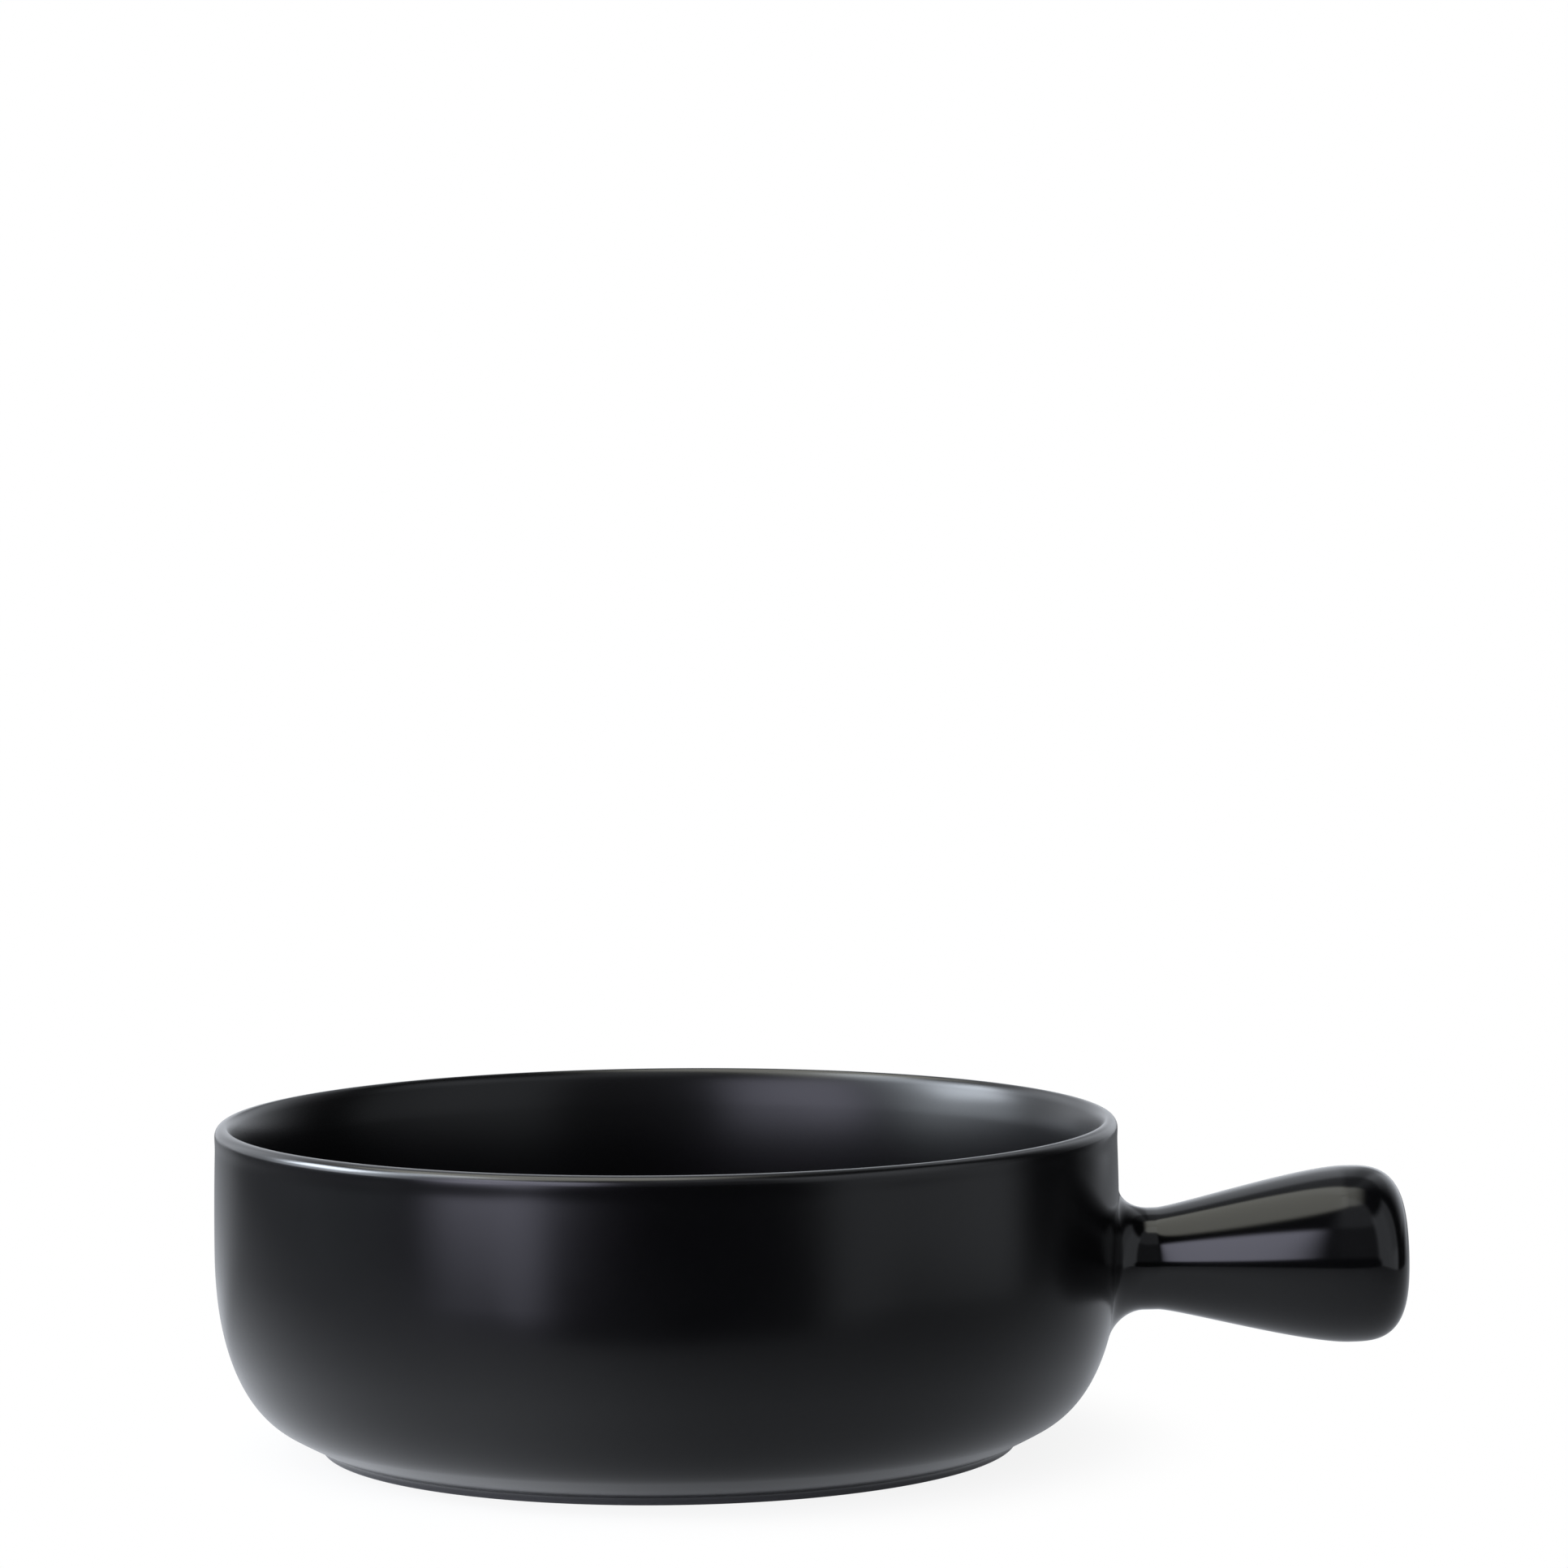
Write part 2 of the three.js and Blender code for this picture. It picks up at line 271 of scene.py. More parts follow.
# The handle, measured along its axis from the wall
handle = {
    "height": 32.1, "tilt": radians(1.3),
    "neckWidth": 18.8, "neckHeight": 18, "gripWidth": 31.4, "gripHeight": 31.1,
    "neckLength": 6.5, "swellLength": 33.6, "endDepth": 10.85, "endPower": 3.1,
    "neckPull": 0.1, "gripPull": 0.25,  # the Bezier's two arms, as shares of the swell's length
    "wall": 4, "sunk": 0.3,
    "flareLength": 5.2, "flareTop": 3.6, "flareBottom": 5,
    "ventDiameter": 3, "ventDistance": 13, "ventEdge": 0.5, "ventAround": 64, "ventEdgePoints": 9,
    "around": 168, "seatRounds": 12,
}
wallAtHandle = float(wallRadius(np.array(handle["height"])))


# How far along its axis a point of the handle meets the bowl's wall, for its place y and z
# beside the axis: the wall's radius at the point's height, worked out again until it settles
def seatOnWall(y, z):
    tilt = handle["tilt"]
    along = np.zeros_like(y)
    for _ in range(handle["seatRounds"]):
        height = handle["height"] + along * sin(tilt) + z * cos(tilt)
        along = (np.sqrt(wallRadius(height) ** 2 - y ** 2) - wallAtHandle + z * sin(tilt)) / cos(tilt)
    return along


# Rows of the handle's skin from root to tip. Width and height swell by one Bezier curve that is
# level at both ends, and the end is a superellipse. At the root the skin spreads on to the wall
# in a hollow quarter ellipse, which reaches further below than above. The hollow inside is the
# same shape set in by the wall, and has no spread.
def handleRows(inset, flareCount, swellCount, endCount):
    angle = np.arange(handle["around"]) / handle["around"] * 2 * pi
    share = np.linspace(0, 1, swellCount)
    back = 1 - share
    length = 3 * back ** 2 * share * handle["neckPull"] \
        + 3 * back * share ** 2 * (1 - handle["gripPull"]) + share ** 3
    swell = 3 * back * share ** 2 + share ** 3
    end = superCorner(1, 1, 1, 1, handle["endPower"], endCount)[1:]
    swellEnd = handle["neckLength"] + handle["swellLength"]
    along = np.concatenate([
        handle["neckLength"] + handle["swellLength"] * length,
        swellEnd + (handle["endDepth"] - inset) * (1 - end[:, 1]),
    ])
    neck = np.array([handle["neckWidth"], handle["neckHeight"]])[:, None] / 2
    grip = np.array([handle["gripWidth"], handle["gripHeight"]])[:, None] / 2
    half = np.concatenate([neck + (grip - neck) * swell, grip + 0 * end[:, 0]], axis=1) - inset
    half[:, swellCount:] *= end[:, 0]
    y = half[0][:, None] * np.cos(angle)
    z = half[1][:, None] * np.sin(angle)
    body = np.stack([along[:, None] + 0 * angle, y, z], axis=-1)

    turn = np.linspace(0, pi / 2, flareCount)[:, None]
    rise = handle["flareBottom"] + (handle["flareTop"] - handle["flareBottom"]) * (1 + np.sin(angle)) / 2
    if inset:
        rise = 0 * rise
    up = rise * (1 - np.sin(turn))
    out = handle["flareLength"] * (1 - np.cos(turn))
    y = (neck[0] - inset + up) * np.cos(angle)
    z = (neck[1] - inset + up) * np.sin(angle)
    root = np.stack([seatOnWall(y, z) + out, y, z], axis=-1)
    root[0, :, 0] -= handle["sunk"]
    return np.concatenate([root, body])


# From the handle's own axis to the row frame
def placeHandle(rows):
    tilt = handle["tilt"]
    x, y, z = rows[..., 0], rows[..., 1], rows[..., 2]
    return np.stack([
        bowlX / mm + wallAtHandle + x * cos(tilt) - z * sin(tilt),
        y,
        handle["height"] + x * sin(tilt) + z * cos(tilt),
    ], axis=-1)


hollow = handleRows(inset=handle["wall"], flareCount=3, swellCount=24, endCount=20)[::-1]
outside = handleRows(inset=0, flareCount=30, swellCount=84, endCount=64)
handleSkin = skinOver("handle_skin", placeHandle(np.concatenate([hollow, outside])), True, True)


# The vent underneath, which lets steam out of the hollow in the kiln: a pin as deep as the wall,
# its edge rounded outwards by a quarter circle, is cut out of the skin
def cutVent():
    lowest = outside[:, handle["around"] * 3 // 4]  # the underside is three quarters round
    depth = -float(np.interp(handle["ventDistance"], lowest[:, 0], lowest[:, 2]))
    radius, edge, top = handle["ventDiameter"] / 2, handle["ventEdge"], handle["ventEdge"] + handle["wall"]
    turn = np.linspace(0, pi / 2, handle["ventEdgePoints"])
    profile = np.concatenate([
        [[0, top], [radius, top]],
        np.column_stack([radius + edge * (1 - np.cos(turn)), edge * (1 - np.sin(turn))]),
        [[radius + 2 * edge, -edge], [0, -edge]],
    ])
    # Half a step of turn keeps the pin's corners off the points along the handle's underside
    angle = (np.arange(handle["ventAround"]) + 0.5) / handle["ventAround"] * 2 * pi
    across, rise = profile[:, :1], profile[:, 1:]
    pinRows = np.stack([handle["ventDistance"] + across * np.cos(angle), -across * np.sin(angle),
                        rise - depth + 0 * angle], axis=-1)
    pin = skinOver("vent_pin", placeHandle(pinRows), True, True)
    cut = handleSkin.modifiers.new("vent", "BOOLEAN")
    cut.operation, cut.solver, cut.object = "DIFFERENCE", "EXACT", pin
    drilled = bpy.data.meshes.new_from_object(handleSkin.evaluated_get(
        bpy.context.evaluated_depsgraph_get()))
    handleSkin.modifiers.clear()
    handleSkin.data = drilled
    drilled.name = "handle_skin"
    bpy.data.objects.remove(pin)
    drilled.shade_smooth()
    drilled.set_sharp_from_angle(angle=sharpAngle)


cutVent()
print("handle:", len(handleSkin.data.vertices), "points")


# An sRGB hex colour as linear values
def toLinear(hexColour):
    value = np.array([int(hexColour[i:i + 2], 16) for i in (1, 3, 5)]) / 255
    linear = np.where(value <= 0.04045, value / 12.92, ((value + 0.055) / 1.055) ** 2.4)
    return (*linear.tolist(), 1)


smooth = {"interpolation_type": "SMOOTHSTEP"}  # options of a node that maps a range by a soft step


# Adds a node with its options, the values of its sockets and the links into them
def addNode(tree, kind, options=None, values=None, links=None):
    node = tree.nodes.new(kind)
    for name, value in (options or {}).items():
        setattr(node, name, value)
    for socket, value in (values or {}).items():
        node.inputs[socket].default_value = value
    for socket, source in (links or {}).items():
        tree.links.new(source, node.inputs[socket])
    return node


def newMaterial(name):
    material = bpy.data.materials.new(name)
    material.use_nodes = True
    material.node_tree.nodes.clear()
    return material, material.node_tree


# Stoneware dipped in a black glaze and fired. It has hardly any colour of its own, so the eye
# sees what it mirrors, broken a little by waves and orange peel in its skin. Round the foot it is
# painted greyer. This stands for glaze that is thinner there, and it is also a painted reflection
# of the white table in the foot's hollow. Sizes are in millimetres.
blackGlaze = {
    "deep": "#040405", "pale": "#080809", "fleck": "#171614",
    # Round the foot the colour turns to this grey, from the first height down to the second. It is thinner
    # glaze and a painted reflection of the table
    "thinAndReflection": "#38383a", "thinAndReflectionFrom": 3.6, "thinAndReflectionTo": 2.2,
    "cloudSize": 22, "cloudDetail": 4, "cloudLow": 0.3, "cloudHigh": 0.7,
    "peelSize": 3.5, "peelDetail": 2, "peelDepth": 0.002,
    "waveSize": 26, "waveDetail": 1, "waveDepth": 0.01,
    "fleckSpacing": 9, "fleckEdge": 0.315, "fleckCore": 0.135,
}
# On the bowl it has cooled to a satin skin with soft, wide highlights. It is more matt inside,
# and on the rim's crest it is glassier and mirrors more.
satinGlaze = dict(
    blackGlaze, roughness=0.22, roughnessSwing=0.03, insideRoughness=0.27,
    ior=1.42, rimIor=1.7, rimFrom=55.8, rimTo=57,
)
# On the handle it lies thicker: it is glassy and shows lights crisply. At the wall it is as
# satin as the bowl's, and away from it this fades.
glossGlaze = dict(
    blackGlaze, roughness=0.11, roughnessSwing=0.02, ior=1.5,
    wallRoughness=satinGlaze["roughness"], satinFrom=-0.5, satinTo=3,
)


# Clouds between the two dark colours, fine flecks, and round the foot a paler grey. The grey stands
# for thinner glaze and is also a painted reflection of the white table.
def glazeColour(tree, look, place, height, clouds):
    cells = addNode(tree, "ShaderNodeTexVoronoi", values={
        "Scale": 1 / (look["fleckSpacing"] * mm)}, links={"Vector": place})
    fleck = addNode(tree, "ShaderNodeMapRange", smooth, {
        "From Min": look["fleckEdge"] / look["fleckSpacing"],
        "From Max": look["fleckCore"] / look["fleckSpacing"]}, {"Value": cells.outputs["Distance"]})
    # How far the foot's grey reaches. It is thinner glaze and a painted reflection of the table
    thinAndReflection = addNode(tree, "ShaderNodeMapRange", smooth, {
        "From Min": look["thinAndReflectionFrom"] * mm, "From Max": look["thinAndReflectionTo"] * mm}, {"Value": height})
    colour = addNode(tree, "ShaderNodeMix", {"data_type": "RGBA"}, {
        6: toLinear(look["deep"]), 7: toLinear(look["pale"])}, {0: clouds})
    for shade, share in ("fleck", fleck), ("thinAndReflection", thinAndReflection):
        colour = addNode(tree, "ShaderNodeMix", {"data_type": "RGBA"}, {
            7: toLinear(look[shade])}, {0: share.outputs[0], 6: colour.outputs[2]})
    return colour.outputs[2]


# Roughness that follows the clouds a little, and turns to another value inside the bowl or, on
# the handle, at the wall
def glazeRoughness(tree, look, place, clouds):
    half = look["roughnessSwing"] / 2
    rough = addNode(tree, "ShaderNodeMapRange", values={
        "From Min": look["cloudLow"], "From Max": look["cloudHigh"],
        "To Min": look["roughness"] - half, "To Max": look["roughness"] + half}, links={"Value": clouds})
    if "insideRoughness" in look:
        other = look["insideRoughness"]
        share = addNode(tree, "ShaderNodeAttribute", {"attribute_name": "inside"}).outputs["Fac"]
    else:
        other = look["wallRoughness"]
        middle = addNode(tree, "ShaderNodeMapping", values={
            "Location": (-bowlX, 0, 0), "Scale": (1, 1, 0)}, links={"Vector": place})
        away = addNode(tree, "ShaderNodeVectorMath", {"operation": "LENGTH"},
                       links={0: middle.outputs[0]})
        share = addNode(tree, "ShaderNodeMapRange", smooth, {
            "From Min": (bowl["radius"] + look["satinFrom"]) * mm,
            "From Max": (bowl["radius"] + look["satinTo"]) * mm,
            "To Min": 1, "To Max": 0}, {"Value": away.outputs["Value"]}).outputs[0]
    return addNode(tree, "ShaderNodeMix", {"data_type": "FLOAT"}, {3: other},
                   {0: share, 2: rough.outputs[0]}).outputs[0]


# A glaze over waves and orange peel, which are bumps made from noise
def glazeMaterial(name, look):
    material, tree = newMaterial(name)
    place = addNode(tree, "ShaderNodeTexCoord").outputs["Object"]
    height = addNode(tree, "ShaderNodeSeparateXYZ", links={0: place}).outputs["Z"]
    clouds, wave, peel = (addNode(tree, "ShaderNodeTexNoise", values={
        "Scale": 1 / (look[pattern + "Size"] * mm), "Detail": look[pattern + "Detail"]},
        links={"Vector": place}).outputs["Fac"] for pattern in ("cloud", "wave", "peel"))
    waveBump = addNode(tree, "ShaderNodeBump", values={
        "Strength": 1, "Distance": look["waveDepth"] * mm}, links={"Height": wave})
    peelBump = addNode(tree, "ShaderNodeBump", values={
        "Strength": 1, "Distance": look["peelDepth"] * mm},
        links={"Height": peel, "Normal": waveBump.outputs[0]})
    shader = addNode(tree, "ShaderNodeBsdfPrincipled", values={"IOR": look["ior"]}, links={
        "Base Color": glazeColour(tree, look, place, height, clouds),
        "Roughness": glazeRoughness(tree, look, place, clouds), "Normal": peelBump.outputs[0]})
    if "rimIor" in look:
        crest = addNode(tree, "ShaderNodeMapRange", smooth, {
            "From Min": look["rimFrom"] * mm, "From Max": look["rimTo"] * mm,
            "To Min": look["ior"], "To Max": look["rimIor"]}, {"Value": height})
        tree.links.new(crest.outputs[0], shader.inputs["IOR"])
    addNode(tree, "ShaderNodeOutputMaterial", links={"Surface": shader.outputs[0]})
    return material


# The bare stoneware under the foot, wiped clean of glaze before firing: pale, dry and sandy. Its
# dark grog lies about two millimetres apart, and its grain is about half a millimetre.
biscuit = {
    "pale": "#a59a8a", "dark": "#857a6c", "grog": "#5d5348",
    "cloudSize": 9, "cloudDetail": 3, "grainSize": 0.6, "grainDetail": 2, "grainDepth": 0.03,
    "grogSpacing": 2.2, "grogEdge": 0.396, "grogCore": 0.22,
    "roughness": 0.8, "ior": 1.45,
}


def biscuitMaterial(name, look):
    material, tree = newMaterial(name)
    place = addNode(tree, "ShaderNodeTexCoord").outputs["Object"]
    clouds, grain = (addNode(tree, "ShaderNodeTexNoise", values={
        "Scale": 1 / (look[pattern + "Size"] * mm), "Detail": look[pattern + "Detail"]},
        links={"Vector": place}).outputs["Fac"] for pattern in ("cloud", "grain"))
    cells = addNode(tree, "ShaderNodeTexVoronoi", values={
        "Scale": 1 / (look["grogSpacing"] * mm)}, links={"Vector": place})
    grog = addNode(tree, "ShaderNodeMapRange", smooth, {
        "From Min": look["grogEdge"] / look["grogSpacing"],
        "From Max": look["grogCore"] / look["grogSpacing"]}, {"Value": cells.outputs["Distance"]})
    tone = addNode(tree, "ShaderNodeMix", {"data_type": "RGBA"}, {
        6: toLinear(look["dark"]), 7: toLinear(look["pale"])}, {0: clouds})
    colour = addNode(tree, "ShaderNodeMix", {"data_type": "RGBA"}, {
        7: toLinear(look["grog"])}, {0: grog.outputs[0], 6: tone.outputs[2]})
    bump = addNode(tree, "ShaderNodeBump", values={
        "Strength": 1, "Distance": look["grainDepth"] * mm}, links={"Height": grain})
    shader = addNode(tree, "ShaderNodeBsdfPrincipled", values={
        "Roughness": look["roughness"], "IOR": look["ior"]}, links={
        "Base Color": colour.outputs[2], "Normal": bump.outputs[0]})
    addNode(tree, "ShaderNodeOutputMaterial", links={"Surface": shader.outputs[0]})
    return material


# Faces of the foot that lie on the table are bare
def bareLand():
    footSkin.data.materials.append(biscuitMaterial("bare_stoneware_biscuit", biscuit))
    centres = np.empty(len(footSkin.data.polygons) * 3)
    footSkin.data.polygons.foreach_get("center", centres)
    bare = centres[2::3] < foot["landTop"] * mm
    footSkin.data.polygons.foreach_set("material_index", bare.astype(np.int32))
    footSkin.data.update()


satin = glazeMaterial("satin_black_glaze", satinGlaze)
gloss = glazeMaterial("gloss_black_glaze", glossGlaze)
for piece, glaze in (bowlSkin, satin), (footSkin, satin), (handleSkin, gloss):
    piece.data.materials.append(glaze)
bareLand()

for piece, nodes, slot in (
    (bowlSkin, ["bowl_body"], "shell_glaze"),
    (footSkin, ["foot_ring"], "foot"),
    (handleSkin, ["handle", "handle_slip_joint"], "handle_glaze"),
):
    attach(piece, "root")
    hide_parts(*nodes)
print("pieces ride on their body")

# The camera sees the bowl as in the photo's lower picture, in its own place in the square frame.
# Angles are in degrees, and aimPixel is where the aim falls, from the frame's upper left corner.
camera = {
    "distance": 1, "elevation": 8.51, "azimuth": 3.2, "roll": 0.596,
    "aim": (bowlX, 0, 0.03), "aimPixel": (823.1, 1567.7),
    "focalPixels": 6915.5, "imagePixels": 1932, "sensor": 36,
}


# Direction from the bowl to what stands at an azimuth and an elevation: azimuth 0 is in front,
# and 90 is on the handle's side
def towards(azimuth, elevation):
    azimuth, elevation = radians(azimuth), radians(elevation)
    return Vector((sin(azimuth) * cos(elevation), -cos(azimuth) * cos(elevation), sin(elevation)))


# The camera stands off from its aim and faces it, its sides level. It is then rolled, and turned
# until the aim falls on its pixel.
def placeCamera():
    back = towards(camera["azimuth"], camera["elevation"])
    sideways = Vector((0, 0, 1)).cross(back).normalized()
    level = Matrix((sideways, back.cross(sideways), back))
    roll = Matrix.Rotation(radians(camera["roll"]), 3, "Z")
    centre = camera["imagePixels"] / 2
    aimRay = Vector(((camera["aimPixel"][0] - centre) / camera["focalPixels"],
                     -(camera["aimPixel"][1] - centre) / camera["focalPixels"], -1))
    turn = Vector((0, 0, -1)).rotation_difference(aimRay).to_matrix()
    cameraData = bpy.data.cameras.new("camera")
    cameraData.lens = camera["focalPixels"] / camera["imagePixels"] * camera["sensor"]
    cameraData.sensor_width = camera["sensor"]
    cameraObject = bpy.data.objects.new("camera", cameraData)
    cameraObject.matrix_world = Matrix.Translation(Vector(camera["aim"]) + camera["distance"] * back) \
        @ (turn @ roll @ level).transposed().to_4x4()
    scene.collection.objects.link(cameraObject)
    scene.camera = cameraObject


placeCamera()

# The lamp and the cloth stand round this point, a little towards the handle
studioFocus = (bowlX + 0.02, 0, 0.035)

# The key lamp: where it stands, the width and height of the view that it fills in degrees, and
# how bright it is beside white paper in the same light
key = {
    "distance": 1.5, "azimuth": -96, "elevation": 26, "wide": 25, "tall": 17,
    "glow": 13, "colour": (0.84, 0.91, 1),
}


def hangKeyLamp():
    width = 2 * key["distance"] * tan(radians(key["wide"] / 2))
    height = 2 * key["distance"] * tan(radians(key["tall"] / 2))
    lamp = bpy.data.lights.new("key", "AREA")
    lamp.shape = "RECTANGLE"
    lamp.size, lamp.size_y = width, height
    lamp.energy = key["glow"] * pi * width * height
    lamp.color = key["colour"]
    lampObject = bpy.data.objects.new("key", lamp)
    outwards = towards(key["azimuth"], key["elevation"])
    lampObject.location = Vector(studioFocus) + key["distance"] * outwards
    lampObject.rotation_mode = "QUATERNION"
    lampObject.rotation_quaternion = outwards.to_track_quat("Z", "Y")
    lampObject.visible_camera = False
    scene.collection.objects.link(lampObject)


hangKeyLamp()

# The rest of the studio is one shell of glowing cloth round the bowl, out of the camera's sight.
# Black cloth in front keeps the glaze dark, and the cards below hang on it. Their places are
# azimuths and elevations in degrees, and each pair says where a soft step begins and ends.
cloth = {
    "distance": 2.6, "glow": 0.02, "colour": (0.94, 0.98, 1.05),
    "columnStep": 2.5, "lowest": -80, "highest": 89, "rows": 100,
}
plainCards = {
    "left": {"glow": 0.08, "from": (-158, -142), "to": (-94, -78), "top": (2, 12)},
    "backLeft": {"glow": 0.8, "from": (-153, -137), "to": (-122, -106), "foot": (-3, 5), "top": (32, 40)},
    "front": {"glow": 0.11, "from": (-16, 0), "to": (32, 48), "foot": (-1, 5)},
    "frontHigh": {"glow": 0.2, "from": (-16, 0), "to": (32, 48), "foot": (38, 46)},
}
# Round the key lamp hangs a halo, brighter low down, and beside it a wing, brighter high up, both
# in the lamp's colour
lampCards = {
    "halo": {"glow": 3, "from": (-118, -102), "to": (-78, -62), "foot": (-2, 6), "top": (36, 44)},
    "haloLow": {"glow": 1.8, "from": (-118, -102), "to": (-78, -62), "foot": (-2, 6), "top": (6, 14)},
    "wing": {"glow": 1.665, "from": (-96, -88), "to": (-65, -57), "foot": (-1, 7), "top": (56, 64)},
    "wingHigh": {"glow": 2.59, "from": (-96, -88), "to": (-65, -57), "foot": (34, 40), "top": (56, 64)},
}


# A card's glow times the soft steps at its two sides, and at its foot and top where it has them
def cardGlow(card, azimuth, elevation):
    glow = card["glow"] * softStep(azimuth, *card["from"]) * (1 - softStep(azimuth, *card["to"]))
    if "foot" in card:
        glow = glow * softStep(elevation, *card["foot"])
    if "top" in card:
        glow = glow * (1 - softStep(elevation, *card["top"]))
    return glow


# The lavender window on the left
window = {
    "glow": 3.5, "colour": (0.84, 0.84, 1.03),
    "from": (-63, -49), "to": (-20, -10), "foot": (-13.5, -3.5), "top": (36, 44),
    "cut": 13, "cutOver": (-3, 3),  # low down, its near side is cut back by this much
    "outer": (-42, -32), "rise": 5.3,  # its far half has a higher foot
    "lowGain": 0.75, "lowOver": (1, 11),  # and gives more light low down
    "fall": 0.15, "fallOver": (-34, -16),  # and its near side gives less
}


def windowGlow(azimuth, elevation):
    outer = 1 - softStep(azimuth, *window["outer"])
    cut = window["cut"] * (1 - softStep(elevation, *window["cutOver"]))
    low = 1 - softStep(elevation, *window["lowOver"])
    return window["glow"] * softStep(azimuth, *window["from"]) \
        * (1 - softStep(azimuth + cut, *window["to"])) \
        * softStep(elevation - window["rise"] * outer, *window["foot"]) \
        * (1 - softStep(elevation, *window["top"])) \
        * (1 + window["lowGain"] * outer * low) \
        * (1 - window["fall"] * softStep(azimuth, *window["fallOver"]))


# The pale card on the right
rightCard = {
    "glow": 0.62, "from": (30, 42), "to": (94, 106), "top": (46, 58),
    "cut": 7, "cutOver": (-4, 2),  # low down, its near side is cut back by this much
    "fall": 0.35, "fallOver": (66, 92), "fallFoot": (0, 6),  # its far side gives less
}


def rightGlow(azimuth, elevation):
    cut = rightCard["cut"] * (1 - softStep(elevation, *rightCard["cutOver"]))
    fall = softStep(azimuth, *rightCard["fallOver"]) * softStep(elevation, *rightCard["fallFoot"])
    return rightCard["glow"] * softStep(azimuth - cut, *rightCard["from"]) \
        * (1 - softStep(azimuth, *rightCard["to"])) \
        * (1 - softStep(elevation, *rightCard["top"])) * (1 - rightCard["fall"] * fall)


# Behind the bowl the cloth brightens to white. Its low part is brighter on the left. Its high part
# dims in two steps on its way up, and has a dark patch on the right.
backCloth = {
    "horizon": (-1, 4), "lowSides": (128, 170), "highSides": (116, 168), "highGlow": 1.05,
    "leftGain": 0.35, "leftFrom": (-178, -166), "leftTo": (-116, -104),
    "firstDim": 0.25, "firstOver": (24, 32), "secondDim": 0.5, "secondOver": (48, 56),
    "patchDim": 0.6, "patchFrom": (155, 165), "patchTo": (170, 178), "patchFoot": (10, 18),
}


def backGlow(azimuth, elevation):
    aside = np.abs(azimuth)
    aboveHorizon = softStep(elevation, *backCloth["horizon"])
    left = softStep(azimuth, *backCloth["leftFrom"]) * (1 - softStep(azimuth, *backCloth["leftTo"]))
    lowPart = softStep(aside, *backCloth["lowSides"]) * (1 + backCloth["leftGain"] * left)
    patch = softStep(azimuth, *backCloth["patchFrom"]) \
        * (1 - softStep(azimuth, *backCloth["patchTo"])) * softStep(elevation, *backCloth["patchFoot"])
    dimming = backCloth["firstDim"] * softStep(elevation, *backCloth["firstOver"]) \
        + backCloth["secondDim"] * softStep(elevation, *backCloth["secondOver"])
    highPart = backCloth["highGlow"] * softStep(aside, *backCloth["highSides"]) \
        * (1 - dimming) * (1 - backCloth["patchDim"] * patch)
    return (1 - aboveHorizon) * lowPart + aboveHorizon * highPart


# The warm panel overhead, in shares of its height over the bowl. It is wider on the left.
panel = {
    "glow": 1.85, "colour": (1, 1, 0.9), "lowest": 0.2,
    "from": (-0.9, -0.8), "to": (0, 0.25), "halfWidth": 0.34, "spread": 0.5,
    "front": (-1.2, -0.85), "back": (0.75, 0.95),
}


def panelGlow(x, y, z):
    across, deep = x / np.maximum(z, panel["lowest"]), y / np.maximum(z, panel["lowest"])
    deep = deep / (panel["halfWidth"] - panel["spread"] * across)
    return panel["glow"] * softStep(across, *panel["from"]) * (1 - softStep(across, *panel["to"])) \
        * softStep(deep, *panel["front"]) * (1 - softStep(deep, *panel["back"]))


# What the cloth gives off at each azimuth and elevation, in degrees, whose directions are x, y
# and z: the sum of all that hangs on it, each in its colour
def clothGlow(azimuth, elevation, x, y, z):
    plain = cloth["glow"] + backGlow(azimuth, elevation) + rightGlow(azimuth, elevation) \
        + sum(cardGlow(card, azimuth, elevation) for card in plainCards.values())
    beside = sum(cardGlow(card, azimuth, elevation) for card in lampCards.values())
    parts = (
        (plain, cloth["colour"]), (beside, key["colour"]),
        (windowGlow(azimuth, elevation), window["colour"]), (panelGlow(x, y, z), panel["colour"]),
    )
    return sum(glow[..., None] * np.array(colour) for glow, colour in parts)


def hangCloth():
    azimuth = np.radians(np.arange(-180, 180, cloth["columnStep"]))
    elevation = np.radians(np.linspace(cloth["lowest"], cloth["highest"], cloth["rows"]))[:, None]
    x = np.sin(azimuth) * np.cos(elevation)
    y = -np.cos(azimuth) * np.cos(elevation)
    z = np.sin(elevation) + 0 * azimuth
    points = cloth["distance"] * np.stack([x, y, z], axis=-1) + np.array(studioFocus)
    index = np.arange(z.size).reshape(z.shape)
    after = np.roll(index, -1, axis=1)
    faces = np.stack([index[:-1], index[1:], after[1:], after[:-1]], axis=-1).reshape(-1, 4)
    mesh = bpy.data.meshes.new("studio_cards")
    mesh.from_pydata(points.reshape(-1, 3).tolist(), [], faces.tolist())
    colour = clothGlow(np.degrees(azimuth) + 0 * z, np.degrees(elevation) + 0 * z, x, y, z)
    glow = np.concatenate([colour, np.ones((*z.shape, 1))], axis=-1)
    mesh.attributes.new("glow", "FLOAT_COLOR", "POINT").data.foreach_set("color", glow.ravel())
    material, tree = newMaterial("studio_cards")
    shine = addNode(tree, "ShaderNodeAttribute", {"attribute_name": "glow"})
    light = addNode(tree, "ShaderNodeEmission", links={"Color": shine.outputs["Color"]})
    addNode(tree, "ShaderNodeOutputMaterial", links={"Surface": light.outputs[0]})
    mesh.materials.append(material)
    shell = bpy.data.objects.new("studio_cards", mesh)
    scene.collection.objects.link(shell)
    shell.visible_camera = False


hangCloth()

